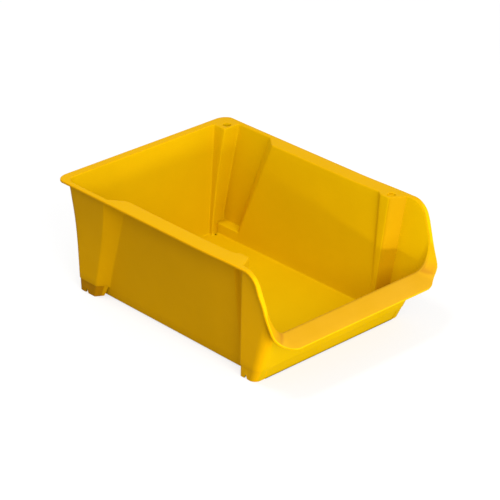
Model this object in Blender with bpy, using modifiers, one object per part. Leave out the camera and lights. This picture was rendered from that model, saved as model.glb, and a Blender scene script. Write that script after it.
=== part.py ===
"""Stackable open-front storage bin, injection moulded in yellow polypropylene.

The real bin is one moulding. Its regions are modelled here as separate solids that meet face to face:
floor, walls, corner bays, steps, columns, feet, rim, stacking ledges and front lip.
X runs across the bin, -Y is the open front, Z is up and the feet stand on Z = 0. Metres throughout.
"""

import bpy
import bmesh
from math import atan, cos, pi, sin
from mathutils import Vector

COLLECTION = "stackable_storage_bin"

# Driving dimensions
WIDTH = 0.220
LENGTH = 0.3124             # over the back rim and the underside of the lip's outer edge
RIM_HEIGHT = 0.121
SHOULDER_RISE = 0.0014      # the rim climbs this much towards the front shoulders
RISE_FROM = -0.190
RISE_TO = -0.262
WALL = 0.002
RIM_PLATE = 0.0025
GAP = 0.0003                # clearance between neighbouring solids
SEAM = 0.002                # a seam lies this far into the flat beside a rounded corner
ARC_STEPS = 5
HOLE_SIDES = 24
SEARCH_STEPS = 40

# Levels
FLOOR_UNDERSIDE = 0.001
BAY_FLOOR_TOP = 0.0137
BAY_START = BAY_FLOOR_TOP + GAP
FOOT_TOP = 0.0130
GROUND_DEPTH = 0.020
LIP_HEIGHT = 0.062          # inner edge of the front lip
LIP_DROP = 0.010
LIP_REACH = 0.020

# Outer faces of the walls, from the foot level to the rim
SIDE_FOOT_X = 0.0957
SIDE_DRAFT = 0.040
SIDE_BENDS = ((0.053, 0.040), (0.079, 0.075))   # heights where the rear bay walls bend outwards, added draft
CHEEK_DRAFT = 0.083         # draft of the front bays beside the front step
PANEL_X = (0.0840, 0.0948)
BACK_Y = (-0.0108, -0.0080)
FRONT_Y = -0.2642
FRONT_LEAN = 0.45
FRONT_CORNER_FLARE = 0.125
REAR_STEP_OUTSET_Y = (-0.0353, -0.0683)
REAR_STEP_INSET_Y = (-0.0425, -0.0875)
FRONT_STEP_INSET_Y = (-0.2380, -0.2495)
FRONT_STEP_OUTSET_Y = (-0.2435, -0.2580)
FRONT_COLUMN_START_Y = -0.234
FRONT_COLUMN_SLANT = 0.005
COLUMN_BULGE = 0.0036       # at the rim, fading to nothing at the foot

# Corner radii
REAR_RADIUS = (0.0055, 0.0125)
STEP_RADIUS = 0.003
COLUMN_RADIUS = 0.0015
FRONT_RADIUS = 0.008
FRONT_RADIUS_GROWTH = 0.08
RIM_RADIUS = 0.013
SHOULDER_RADIUS = 0.018

# Side outline of the open front
OPENING_Y = -0.2781
OPENING_SLOPE = 0.365
OPENING_END = 0.092         # the slope ends here, where the rounded lower corner begins
OPENING_CORNER_POWER = 1.6
EDGE_SLOPE_FACTOR = 2.2     # a steep edge sits this much lower for the same plate thickness
LIP_SLOPE_FACTOR = 1.6
LIP_CORNER_FLAT = 0.006
SIDE_FLANGE_TAPER = 0.12
SIDE_FLANGE_TAPER_FROM = 0.104

# Stacking holes and feet
REAR_HOLE = (0.0944, -0.0193)
FRONT_HOLE = (0.0957, -0.2468)
HOLE_RADIUS = 0.0039
SOCKET_DEPTH = 0.015
RECESS_DEPTH = 0.0014
FOOT_INSET = 0.0008
NOTCH_WIDTH = 0.0046
NOTCH_HEIGHT = 0.0045
REAR_NOTCH_Y = -0.0234
FRONT_NOTCH_Y = -0.2512

NOTCH_TAPER = 0.25          # width of a notch's top as a share of its foot
FOOT_STEP_REACH = 0.80      # the foot skirt follows this much of the splayed step
REAR_SPLAY = 0.62           # slope in plan of the bay floors beside the rear and front steps
FRONT_SPLAY = 0.47

# Rear columns, rim and lip details
COLUMN_X = (0.0740, 0.0853)
COLUMN_FRONT_Y = (-0.0180, -0.0262)
RIM_CORNER_END = -0.032
LEDGE_THIRDS = (0.33, 0.67)
LIP_CORNER_FALL = 0.9       # how much of its rise the opening's edge loses round the lower corner
SIDE_LIP_REACH = 0.0037
LIP_CORNER_SWELL = 0.036
LIP_REACH_POWER = 1.35
LIP_DROP_POWER = 2.5

# Mesh divisions over height and along the walls
BAY_LEVELS = 4
FRONT_LEVELS = 3
LOW_LEVELS = 2
PANEL_STATIONS = 8
CHEEK_STATIONS = 6

YELLOW = (0.84, 0.47, 0.004)
DEEP_YELLOW = (0.76, 0.40, 0.003)
PALE_YELLOW = (0.90, 0.54, 0.02)


def clear_scene():
    for item in list(bpy.data.objects):
        bpy.data.objects.remove(item, do_unlink=True)


def collection(name):
    group = bpy.data.collections.new(name)
    bpy.context.scene.collection.children.link(group)
    return group


def plastic(name, colour):
    material = bpy.data.materials.new(name)
    material.use_nodes = True
    shader = material.node_tree.nodes["Principled BSDF"]
    shader.inputs["Base Color"].default_value = (*colour, 1.0)
    shader.inputs["Roughness"].default_value = 0.42
    shader.inputs["Metallic"].default_value = 0.0
    return material


# Profiles of the walls over height

def mix(a, b, t):
    return a + (b - a) * t


def at_height(pair, z):
    return mix(pair[0], pair[1], z / RIM_HEIGHT)


def side_x(z):
    """Outer face of the rear bay walls."""
    return SIDE_FOOT_X + SIDE_DRAFT * z + sum(draft * max(0.0, z - height) for height, draft in SIDE_BENDS)


def cheek_foot_x(z):
    """Outer face of the front bay walls where the front step ends."""
    return SIDE_FOOT_X + CHEEK_DRAFT * z


def rear_radius(z):
    return at_height(REAR_RADIUS, z)


def panel_x(z):
    return at_height(PANEL_X, z)


def column_x(z):
    return panel_x(z) - COLUMN_BULGE * z / RIM_HEIGHT


def back_y(z):
    return at_height(BACK_Y, z)


def front_y(z):
    return FRONT_Y - FRONT_LEAN * z


def front_corner_x(z):
    return SIDE_FOOT_X + FRONT_CORNER_FLARE * z


def front_radius(z):
    return FRONT_RADIUS + FRONT_RADIUS_GROWTH * z


def rim_z(y):
    t = min(1.0, max(0.0, (y - RISE_FROM) / (RISE_TO - RISE_FROM)))
    return RIM_HEIGHT + SHOULDER_RISE * t * t * (3.0 - 2.0 * t)


def wall_top(y):
    return rim_z(y) - RIM_PLATE - GAP


# Plan outline of the right half

def fillet(before, corner, after, radius):
    """Points of the arc that rounds a corner of a plan outline."""
    before, corner, after = Vector(before), Vector(corner), Vector(after)
    a = (before - corner).normalized()
    b = (after - corner).normalized()
    half = a.angle(b) / 2.0
    reach = radius * cos(half) / sin(half)
    centre = corner + (a + b).normalized() * radius / sin(half)
    start = corner + a * reach - centre
    end = corner + b * reach - centre
    sweep = start.angle(end)
    points = []
    for k in range(ARC_STEPS + 1):
        t = k / ARC_STEPS
        arm = (start * sin((1.0 - t) * sweep) + end * sin(t * sweep)) / sin(sweep)
        points.append(centre + arm)
    return points


def corners(z):
    return {
        "back": (0.0, back_y(z)),
        "rear": (side_x(z), back_y(z)),
        "rear_outset": (side_x(z), at_height(REAR_STEP_OUTSET_Y, z)),
        "rear_inset": (panel_x(z), at_height(REAR_STEP_INSET_Y, z)),
        "column_start": (panel_x(z), FRONT_COLUMN_START_Y),
        "column": (column_x(z), FRONT_COLUMN_START_Y - FRONT_COLUMN_SLANT),
        "front_inset": (column_x(z), at_height(FRONT_STEP_INSET_Y, z)),
        "front_outset": (cheek_foot_x(z), at_height(FRONT_STEP_OUTSET_Y, z)),
        "front": (front_corner_x(z), front_y(z)),
        "front_middle": (0.0, front_y(z)),
    }


def rear_stations(z):
    """Outer face of the rear bay: round corner, bay wall and splayed step."""
    c = corners(z)
    arc = fillet(c["back"], c["rear"], c["rear_outset"], rear_radius(z))
    points = [arc[0] - Vector((SEAM, 0.0))] + arc
    points += fillet(c["rear"], c["rear_outset"], c["rear_inset"], STEP_RADIUS)
    arc = fillet(c["rear_outset"], c["rear_inset"], c["column_start"], STEP_RADIUS)
    return points + arc + [arc[-1] - Vector((0.0, SEAM))]


def front_stations(z):
    """Outer face of the front bay as far as the cheek: column groove, step and outset corner."""
    c = corners(z)
    points = [Vector((panel_x(z), FRONT_COLUMN_START_Y + SEAM)), Vector(c["column_start"])]
    points.append(Vector(c["column"]))
    points += fillet(c["column"], c["front_inset"], c["front_outset"], COLUMN_RADIUS)
    return points + fillet(c["front_inset"], c["front_outset"], c["front"], STEP_RADIUS)


def front_arc(z):
    c = corners(z)
    return fillet(c["front_outset"], c["front"], c["front_middle"], front_radius(z))


def loft_z(station, low, high, levels):
    """One upright row of points: the station's plan place at each height."""
    row = []
    for k in range(levels + 1):
        z = mix(low, high, k / levels)
        x, y = station(z)
        row.append(Vector((x, y, z)))
    return row


def trimmed(rows):
    """The same rows with the first and last moved in by half a gap."""
    first = [a + (b - a).normalized() * GAP / 2.0 for a, b in zip(rows[0], rows[1])]
    last = [a + (b - a).normalized() * GAP / 2.0 for a, b in zip(rows[-1], rows[-2])]
    return [first] + rows[1:-1] + [last]


# Solids

def linked(name, mesh, material, group):
    item = bpy.data.objects.new(name, mesh)
    item.data.materials.append(material)
    group.objects.link(item)
    return item


def sheet(name, rows, thickness, material, group):
    """A closed plate: a lofted open surface given its thickness by Solidify, away from its normals."""
    mesh = bpy.data.meshes.new(name)
    bm = bmesh.new()
    grid = [[bm.verts.new(point) for point in row] for row in rows]
    for left, right in zip(grid, grid[1:]):
        for k in range(len(left) - 1):
            bm.faces.new((left[k], right[k], right[k + 1], left[k + 1]))
    bm.to_mesh(mesh)
    bm.free()
    item = linked(name, mesh, material, group)
    shell = item.modifiers.new("Thickness", "SOLIDIFY")
    shell.thickness = thickness
    shell.offset = -1.0
    shell.use_even_offset = True
    return item


def both_sides(name, rows, thickness, material, group):
    """The right-hand plate and its mirror image."""
    flipped = [[Vector((-p.x, p.y, p.z)) for p in row] for row in reversed(rows)]
    right = sheet(name + "_right", rows, thickness, material, group)
    left = sheet(name + "_left", flipped, thickness, material, group)
    return right, left


def prism(name, outline, low, high, material, group):
    """A flat plate from a closed plan outline, solidified downwards from its top face."""
    mesh = bpy.data.meshes.new(name)
    bm = bmesh.new()
    face = bm.faces.new([bm.verts.new((x, y, high)) for x, y in outline])
    bm.normal_update()
    if face.normal.z < 0.0:
        face.normal_flip()
    bm.to_mesh(mesh)
    bm.free()
    item = linked(name, mesh, material, group)
    shell = item.modifiers.new("Thickness", "SOLIDIFY")
    shell.thickness = high - low
    shell.offset = -1.0
    return item


def both_prisms(name, outline, low, high, material, group):
    right = prism(name + "_right", outline, low, high, material, group)
    left = prism(name + "_left", [(-x, y) for x, y in reversed(outline)], low, high, material, group)
    return right, left


def cutter(name, mesh_maker, location, group):
    """A hidden solid for cutting, its mesh filled in by mesh_maker."""
    mesh = bpy.data.meshes.new(name)
    bm = bmesh.new()
    mesh_maker(bm)
    bm.to_mesh(mesh)
    bm.free()
    item = bpy.data.objects.new(name, mesh)
    item.location = location
    item.display_type = "WIRE"
    item.hide_render = True
    group.objects.link(item)
    return item


def cut(item, tool):
    modifier = item.modifiers.new("Cut", "BOOLEAN")
    modifier.operation = "DIFFERENCE"
    modifier.object = tool


def round_cutter(bm):
    bmesh.ops.create_cone(bm, cap_ends=True, segments=HOLE_SIDES, radius1=HOLE_RADIUS, radius2=HOLE_RADIUS,
                          depth=2.0 * SOCKET_DEPTH)


def ground_cutter(bm):
    """Everything below the feet, so that the leaning walls stand on level edges."""
    bmesh.ops.create_cube(bm, size=1.0)
    bmesh.ops.scale(bm, vec=(2.0 * WIDTH, 2.0 * LENGTH, GROUND_DEPTH), verts=bm.verts)


def notch_cutter(bm):
    """A tooth-shaped wedge across the foot: wide at the ground, narrow at its top."""
    bmesh.ops.create_cube(bm, size=1.0)
    for vertex in bm.verts:
        top = vertex.co.z > 0.0
        vertex.co.x *= 4.0 * WALL
        vertex.co.y *= NOTCH_WIDTH * (NOTCH_TAPER if top else 1.0)
        vertex.co.z = NOTCH_HEIGHT if top else -WALL


def along(a, b, distance):
    """The point a given distance from a towards b."""
    return a + (b - a).normalized() * distance


def front_foot_y(z):
    return front_y(z) + WALL / cos(atan(FRONT_LEAN)) + GAP


def cheek_x(y, z):
    """Outer face of the flared cheek between the front step and the front corner."""
    outset = at_height(FRONT_STEP_OUTSET_Y, z)
    t = max(0.0, (y - outset) / (front_y(z) - outset))
    return mix(cheek_foot_x(z), front_corner_x(z), t)


def opening_curve(inset):
    """Side view of the open front as (y, z) points, from the flat rim to the lower corner."""
    height = RIM_HEIGHT + SHOULDER_RISE - inset
    shift = inset / cos(atan(OPENING_SLOPE))
    lean = OPENING_SLOPE * (RIM_HEIGHT + SHOULDER_RISE - height)
    corner = Vector((OPENING_Y + shift - lean, height))
    flat = corner + Vector((SHOULDER_RADIUS, 0.0))
    foot = corner - Vector((OPENING_SLOPE, 1.0)) * (height - OPENING_END + inset)
    return fillet(flat, corner, foot, SHOULDER_RADIUS - inset) + [foot]


def opening_y(z, inset):
    """How far forward the side walls reach at a height."""
    curve = opening_curve(inset)
    if z >= curve[0].y:
        return curve[0].x
    for a, b in zip(curve, curve[1:]):
        if z >= b.y:
            return mix(a.x, b.x, (z - a.y) / (b.y - a.y))
    return curve[-1].x


def opening_top(station, inset):
    """Height at which a leaning station of the cheek meets the edge of the open front."""
    low, high = LIP_HEIGHT, RIM_HEIGHT + SHOULDER_RISE - inset
    if station(high)[1] > opening_y(high, inset):
        return min(high, rim_z(station(high)[1]) - inset)
    for _ in range(SEARCH_STEPS):
        middle = (low + high) / 2.0
        if station(middle)[1] > opening_y(middle, inset):
            low = middle
        else:
            high = middle
    return low


def corner_top(t, inset):
    """Height of the edge round the front corner: t is 0 beside the cheek and 1 on the lip."""
    rise = (OPENING_END - LIP_HEIGHT) * (1.0 - LIP_CORNER_FALL * t) ** OPENING_CORNER_POWER
    return LIP_HEIGHT + rise - inset * mix(EDGE_SLOPE_FACTOR, LIP_SLOPE_FACTOR, t)


def make_floor(material, group):
    inner = panel_x(FLOOR_UNDERSIDE)
    front = front_foot_y(FLOOR_UNDERSIDE)
    back = back_y(FLOOR_UNDERSIDE)
    outline = [(-inner, back), (-inner, front), (inner, front), (inner, back)]
    prism("floor", outline, FLOOR_UNDERSIDE, FLOOR_UNDERSIDE + WALL, material, group)


def wall_row(side, half_width, plan_y, low, high, levels):
    """One upright edge of a wall that is symmetric about X = 0."""
    return loft_z(lambda z: (side * half_width(z), plan_y(z)), low, high, levels)


def back_reach(z):
    return side_x(z) - rear_radius(z) - SEAM


def front_reach(z):
    return front_arc(z)[-1].x - SEAM


def make_walls(material, group, ground):
    low = FLOOR_UNDERSIDE + WALL + GAP
    back = [wall_row(side, back_reach, back_y, low, wall_top(0.0), BAY_LEVELS) for side in (1.0, 0.0, -1.0)]
    sheet("back_wall", trimmed(back), WALL, material, group)

    top = LIP_HEIGHT - (RIM_PLATE + GAP) * LIP_SLOPE_FACTOR
    front = [wall_row(side, front_reach, front_y, -WALL, top, FRONT_LEVELS) for side in (-1.0, 0.0, 1.0)]
    cut(sheet("front_wall", trimmed(front), WALL, material, group), ground)

    rows = [panel_row(low, k / PANEL_STATIONS) for k in range(PANEL_STATIONS + 1)]
    both_sides("side_panel", trimmed(rows[::-1]), WALL, material, group)


def panel_row(low, t):
    """One upright line of the side panel: t is 0 beside the rear step and 1 beside the front groove."""
    def station(z):
        return panel_x(z), mix(rear_stations(z)[-1].y, FRONT_COLUMN_START_Y + SEAM, t)

    return loft_z(station, low, wall_top(station(RIM_HEIGHT)[1]), BAY_LEVELS)


def patch(stations, low, levels, top):
    """Upright rows through every station of an outline, each up to its own top."""
    def row(k):
        def station(z):
            return tuple(stations(z)[k])

        return loft_z(station, low, top(k, station), levels)

    return [row(k) for k in range(len(stations(low)))]


def rim_top(_k, station):
    return wall_top(station(RIM_HEIGHT)[1])


def edge_top(_k, station):
    return opening_top(station, RIM_PLATE + GAP)


def corner_edge(k, station):
    """Top of the front corner: on the sloping edge at its first station, then round to the lip."""
    if k == 0:
        return edge_top(k, station)
    return corner_top(min(1.0, (k - 1) / ARC_STEPS), RIM_PLATE + GAP)


def foot_top(_k, _station):
    return FOOT_TOP


def make_rear_bays(material, group):
    rows = patch(rear_stations, BAY_START, BAY_LEVELS, rim_top)
    both_sides("rear_bay", trimmed(rows[::-1]), WALL, material, group)


def cheek_stations(z):
    c = corners(z)
    outset = fillet(c["front_inset"], c["front_outset"], c["front"], STEP_RADIUS)[-1]
    front = front_arc(z)[0]
    start = along(outset, front, SEAM)
    end = along(front, outset, SEAM)
    return [start.lerp(end, k / CHEEK_STATIONS) for k in range(CHEEK_STATIONS + 1)]


def step_stations(z):
    return front_stations(z) + [cheek_stations(z)[0]]


def front_corner_stations(z):
    arc = front_arc(z)
    return [cheek_stations(z)[-1]] + arc + [arc[-1] - Vector((SEAM, 0.0))]


def make_front_bays(material, group):
    for name, stations, top in (("front_step", step_stations, rim_top),
                                ("front_cheek", cheek_stations, edge_top),
                                ("front_corner", front_corner_stations, corner_edge)):
        rows = patch(stations, BAY_START, BAY_LEVELS, top)
        both_sides(name, trimmed(rows[::-1]), WALL, material, group)


def sill_row(plan_y):
    low = FLOOR_UNDERSIDE + WALL + GAP
    top = BAY_FLOOR_TOP - WALL - GAP
    return loft_z(lambda z: (panel_x(z), plan_y(z)), low, top, LOW_LEVELS)


def back_foot_y(z):
    return back_y(z) - WALL - GAP


def rear_panel_y(z):
    return rear_stations(z)[-1].y


def front_panel_y(_z):
    return FRONT_COLUMN_START_Y + SEAM


def make_sills(material, group):
    """The low inner walls that carry the side panels' plane on under the raised bay floors."""
    for name, start, end in (("rear_sill", back_foot_y, rear_panel_y),
                             ("front_sill", front_panel_y, front_foot_y)):
        both_sides(name, trimmed([sill_row(end), sill_row(start)]), WALL, material, group)


def make_bay_floors(material, group):
    low, high = BAY_FLOOR_TOP - WALL, BAY_FLOOR_TOP
    inner = panel_x(high) - WALL
    outer = panel_x(low) + GAP
    wide = side_x(low) - FOOT_INSET - WALL - GAP
    chamfer = rear_radius(low) - WALL
    back = back_y(low) - WALL - GAP
    splay = at_height(REAR_STEP_OUTSET_Y, low) + WALL
    rear = [(inner, back), (wide - chamfer, back), (wide, back - chamfer), (wide, splay),
            (outer, splay - (wide - outer) * REAR_SPLAY), (outer, rear_stations(low)[-1].y + GAP),
            (inner, rear_stations(low)[-1].y + GAP)]
    both_prisms("rear_bay_floor", rear, low, high, material, group)

    splay = at_height(FRONT_STEP_OUTSET_Y, low) - WALL - GAP
    chamfer = front_radius(high) - WALL
    front = front_foot_y(low)
    outline = [(inner, FRONT_COLUMN_START_Y + SEAM - GAP), (outer, FRONT_COLUMN_START_Y + SEAM - GAP),
               (outer, splay + (wide - outer) * FRONT_SPLAY), (wide, splay),
               (wide, front + chamfer), (wide - chamfer, front), (inner, front)]
    both_prisms("front_bay_floor", outline, low, high, material, group)


def inward(points, distance):
    """The outline moved towards the inside of the bin, corner by corner."""
    moved = []
    for k, point in enumerate(points):
        before = points[max(0, k - 1)]
        after = points[min(len(points) - 1, k + 1)]
        step = (after - before).normalized()
        moved.append(point + Vector((step.y, -step.x)) * -distance)
    return moved


def rear_foot_stations(z):
    points = rear_stations(z)[:-(ARC_STEPS + 2)]
    c = corners(z)
    end = Vector(c["rear_outset"]).lerp(Vector(c["rear_inset"]), FOOT_STEP_REACH)
    return inward(points + [end], FOOT_INSET)


def front_foot_stations(z):
    c = corners(z)
    start = Vector(c["front_outset"]).lerp(Vector(c["front_inset"]), FOOT_STEP_REACH)
    step = fillet(c["front_inset"], c["front_outset"], c["front"], STEP_RADIUS)
    arc = front_arc(z)
    return inward([start] + step + arc + [arc[-1] - Vector((SEAM, 0.0))], FOOT_INSET)


def make_feet(material, group, tools, ground):
    for name, stations, notch_y in (("rear_foot", rear_foot_stations, REAR_NOTCH_Y),
                                    ("front_foot", front_foot_stations, FRONT_NOTCH_Y)):
        rows = patch(stations, -WALL, LOW_LEVELS, foot_top)
        right, left = both_sides(name, trimmed(rows[::-1]), WALL, material, group)
        for item, x in ((right, SIDE_FOOT_X - WALL), (left, WALL - SIDE_FOOT_X)):
            cut(item, cutter(item.name + "_notch", notch_cutter, (x, notch_y, 0.0), tools))
            cut(item, ground)


def column_outline(z):
    """Plan of the right rear corner's column at a height: it tapers towards the bay floor."""
    inner = at_height(COLUMN_X, z)
    outer = side_x(z) - WALL - GAP
    back = back_y(z) - WALL - GAP
    chamfer = rear_radius(z) - WALL
    front = mix(*COLUMN_FRONT_Y, (z - BAY_START) / (RIM_HEIGHT - BAY_START))
    return [(inner, back), (inner, front), (outer, min(front, back - chamfer - GAP)), (outer, back - chamfer),
            (outer - chamfer, back)]


def column_solid(name, material, group):
    """A loft between the column's plans at its foot and below the rim."""
    mesh = bpy.data.meshes.new(name)
    bm = bmesh.new()
    rings = []
    for z in [mix(BAY_START, wall_top(0.0), k / BAY_LEVELS) for k in range(BAY_LEVELS + 1)]:
        rings.append([bm.verts.new((x, y, z)) for x, y in column_outline(z)])
    count = len(rings[0])
    for lower, upper in zip(rings, rings[1:]):
        for k in range(count):
            after = (k + 1) % count
            bm.faces.new((lower[k], lower[after], upper[after], upper[k]))
    bm.faces.new(rings[0][::-1])
    bm.faces.new(rings[-1])
    bmesh.ops.recalc_face_normals(bm, faces=bm.faces)
    bm.to_mesh(mesh)
    bm.free()
    return linked(name, mesh, material, group)


def make_column(material, group, tools):
    column = column_solid("rear_column", material, group)
    cut(column, cutter("rear_socket", round_cutter, (*REAR_HOLE, RIM_HEIGHT), tools))


def rim_corner_outline(column):
    """The rim round a rear corner: over the column on one side, following the round wall on the other."""
    half = WIDTH / 2.0
    end_x = back_reach(RIM_HEIGHT) + GAP
    inner_x = rim_inner(0.0)
    back = back_y(RIM_HEIGHT) - WALL
    arc = fillet((end_x, 0.0), (half, 0.0), (half, RIM_CORNER_END), RIM_RADIUS)
    outline = [(end_x, 0.0)] + [tuple(point) for point in arc] + [(half, RIM_CORNER_END)]
    outline.append((inner_x, RIM_CORNER_END))
    if column:
        plan = column_outline(RIM_HEIGHT)
        return outline + [plan[2], plan[1], (plan[1][0], back), (end_x, back)]
    inside = fillet((inner_x, RIM_CORNER_END), (inner_x, back), (end_x, back), rear_radius(RIM_HEIGHT) - WALL)
    return outline + [tuple(point) for point in inside] + [(end_x, back)]


def strip_rows(inner, outer, places):
    """Rows across the rim at each place along it, running from the inner to the outer edge."""
    return [[Vector((inner(y), y, rim_z(y))), Vector((outer, y, rim_z(y)))] for y in places]


def rim_inner(_y):
    """Inner edge of the narrow rim above the rear bays."""
    return side_x(RIM_HEIGHT) - WALL


def ledge_inner(y):
    """Inner edge of the stacking ledge: splayed start, straight run and bulge round the front hole."""
    straight = panel_x(RIM_HEIGHT) - WALL
    bulge = column_x(RIM_HEIGHT) - WALL
    cheek = cheek_foot_x(RIM_HEIGHT) - WALL
    points = [(REAR_STEP_OUTSET_Y[1], side_x(RIM_HEIGHT) - WALL), (REAR_STEP_INSET_Y[1], straight),
              (FRONT_COLUMN_START_Y, straight), (FRONT_COLUMN_START_Y - FRONT_COLUMN_SLANT, bulge),
              (FRONT_STEP_INSET_Y[1] - WALL, bulge), (FRONT_STEP_OUTSET_Y[1] - WALL, cheek)]
    for (y0, x0), (y1, x1) in zip(points, points[1:]):
        if y >= y1:
            return mix(x0, x1, (y - y0) / (y1 - y0))
    return cheek


def make_rim(material, group, tools):
    half = WIDTH / 2.0
    top, low = RIM_HEIGHT, RIM_HEIGHT - RIM_PLATE
    edge = back_reach(RIM_HEIGHT)
    back = back_y(RIM_HEIGHT) - WALL
    prism("rear_rim", [(-edge, back), (edge, back), (edge, 0.0), (-edge, 0.0)], low, top, material, group)

    corner = prism("rear_rim_corner_right", rim_corner_outline(True), low, top, material, group)
    cut(corner, cutter("rear_hole", round_cutter, (*REAR_HOLE, RIM_HEIGHT), tools))
    outline = [(-x, y) for x, y in reversed(rim_corner_outline(False))]
    prism("rear_rim_corner_left", outline, low, top, material, group)

    places = (RIM_CORNER_END - GAP, REAR_STEP_OUTSET_Y[1] + GAP)
    both_sides("side_rim", strip_rows(rim_inner, half, places), RIM_PLATE, material, group)

    bends = [REAR_STEP_OUTSET_Y[1], REAR_STEP_INSET_Y[1], RISE_FROM]
    bends += [mix(RISE_FROM, FRONT_COLUMN_START_Y, t) for t in LEDGE_THIRDS]
    bends += [FRONT_COLUMN_START_Y, FRONT_COLUMN_START_Y - FRONT_COLUMN_SLANT]
    bends += [FRONT_STEP_INSET_Y[1] - WALL, FRONT_STEP_OUTSET_Y[1] - WALL]
    rows = strip_rows(ledge_inner, half, bends)
    right, _left = both_sides("stacking_ledge", rows, RIM_PLATE, material, group)
    recess_z = rim_z(FRONT_HOLE[1]) - RECESS_DEPTH + SOCKET_DEPTH
    cut(right, cutter("front_recess", round_cutter, (*FRONT_HOLE, recess_z), tools))


def shoulder_rows():
    start = FRONT_STEP_OUTSET_Y[1] - WALL - GAP
    curve = [Vector((start, rim_z(start)))] + opening_curve(0.0)
    rows = []
    for y, z in curve:
        inner = cheek_x(y, z) - WALL
        outer = WIDTH / 2.0 - SIDE_FLANGE_TAPER * max(0.0, SIDE_FLANGE_TAPER_FROM - z)
        rows.append([Vector((inner, y, z)), Vector((outer, y, z))])
    return rows


def lip_corner_rows():
    """Rows across the flange where it turns from the side edge into the front lip."""
    before, last = shoulder_rows()[-2:]
    rows = [last, [b + (b - a).normalized() * SEAM for a, b in zip(before, last)]]
    total = ARC_STEPS + 1
    for k in range(1, total + 1):
        t = min(1.0, k / ARC_STEPS)
        z = corner_top(t, 0.0)
        arc = front_arc(z)
        place = arc[min(k, ARC_STEPS)] - Vector((LIP_CORNER_FLAT if k == total else 0.0, 0.0))
        before, after = arc[max(0, k - 1)], arc[min(ARC_STEPS, k + 1)]
        step = (after - before).normalized()
        inside = place - Vector((-step.y, step.x)) * WALL
        w = k / total
        reach_x = SIDE_LIP_REACH * (1.0 - w) + LIP_CORNER_SWELL * w * w * (1.0 - w)
        reach_y = LIP_REACH * w ** LIP_REACH_POWER
        drop = LIP_DROP * (1.0 - (1.0 - w) ** LIP_DROP_POWER)
        start = Vector((inside.x, inside.y, z))
        rows.append([start, Vector((place.x + reach_x, inside.y - reach_y, z - drop))])
    rows.append([point - Vector((SEAM, 0.0, 0.0)) for point in rows[-1]])
    return rows


def make_lip(material, group):
    both_sides("front_shoulder", trimmed(shoulder_rows()), RIM_PLATE, material, group)
    corner = lip_corner_rows()
    both_sides("lip_corner", trimmed(corner), RIM_PLATE, material, group)
    right = corner[-1]
    left = [Vector((-point.x, point.y, point.z)) for point in right]
    sheet("front_lip", trimmed([right, left]), RIM_PLATE, material, group)


def make_parts():
    clear_scene()
    parts = collection(COLLECTION)
    tools = collection("cutters")
    body = plastic("wall_plastic", YELLOW)
    foot = plastic("foot_plastic", DEEP_YELLOW)
    rim = plastic("rim_plastic", PALE_YELLOW)
    make_floor(body, parts)
    ground = cutter("ground", ground_cutter, (0.0, -LENGTH / 2.0, -GROUND_DEPTH / 2.0), tools)
    make_walls(body, parts, ground)
    make_rear_bays(body, parts)
    make_front_bays(body, parts)
    make_sills(body, parts)
    make_bay_floors(body, parts)
    make_column(body, parts, tools)
    make_feet(foot, parts, tools, ground)
    make_rim(rim, parts, tools)
    make_lip(rim, parts)
    frame = bpy.data.objects.new("frame", None)
    frame.location.y = LENGTH / 2.0
    tools.objects.link(frame)
    for item in list(parts.objects) + [tool for tool in tools.objects if tool is not frame]:
        item.parent = frame


make_parts()
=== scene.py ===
"""Looks of the stackable storage bin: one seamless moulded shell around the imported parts.

The shell is swept round the bin. A station is a place on the walls' plan outline, and at each station
a section runs from the floor up the inside, over the rim flange, down the outside and under the floor.
Lengths are in metres. In the plan functions Y = 0 is the back rim's outer edge and -Y is the open front.
"""

from functools import partial
from math import cos, pi, radians, sin

import bpy
import bmesh
import numpy as np
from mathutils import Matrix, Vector


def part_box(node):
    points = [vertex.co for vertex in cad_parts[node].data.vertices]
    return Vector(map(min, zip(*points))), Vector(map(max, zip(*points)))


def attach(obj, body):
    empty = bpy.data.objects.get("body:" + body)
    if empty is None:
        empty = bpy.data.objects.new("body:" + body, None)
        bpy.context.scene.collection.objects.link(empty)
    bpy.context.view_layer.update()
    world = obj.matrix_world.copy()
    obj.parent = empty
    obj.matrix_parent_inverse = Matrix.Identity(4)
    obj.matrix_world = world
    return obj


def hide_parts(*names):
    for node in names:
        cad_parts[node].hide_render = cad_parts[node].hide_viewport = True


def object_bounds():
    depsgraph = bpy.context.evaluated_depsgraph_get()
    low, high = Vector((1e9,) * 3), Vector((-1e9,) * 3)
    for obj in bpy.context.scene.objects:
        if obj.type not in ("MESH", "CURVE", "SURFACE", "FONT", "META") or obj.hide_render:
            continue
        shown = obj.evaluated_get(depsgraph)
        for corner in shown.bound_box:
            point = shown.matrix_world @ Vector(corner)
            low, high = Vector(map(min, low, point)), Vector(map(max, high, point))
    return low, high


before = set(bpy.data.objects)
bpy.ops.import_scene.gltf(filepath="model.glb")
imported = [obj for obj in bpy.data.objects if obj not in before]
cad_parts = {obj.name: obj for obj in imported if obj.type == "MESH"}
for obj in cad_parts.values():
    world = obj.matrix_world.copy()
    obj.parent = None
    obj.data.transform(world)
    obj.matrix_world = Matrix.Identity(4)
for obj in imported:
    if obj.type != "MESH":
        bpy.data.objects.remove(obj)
cad_low, cad_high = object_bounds()

# Places read from the frame
HALF_WIDTH = cad_high.x
BACK = cad_high.y
RIM_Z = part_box("rear_rim")[1].z
SHOULDER_Z = cad_high.z
FLOOR_LOW, FLOOR_TOP = (corner.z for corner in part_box("floor"))
POCKET_LOW, POCKET_TOP = (corner.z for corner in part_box("rear_bay_floor_right"))

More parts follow.
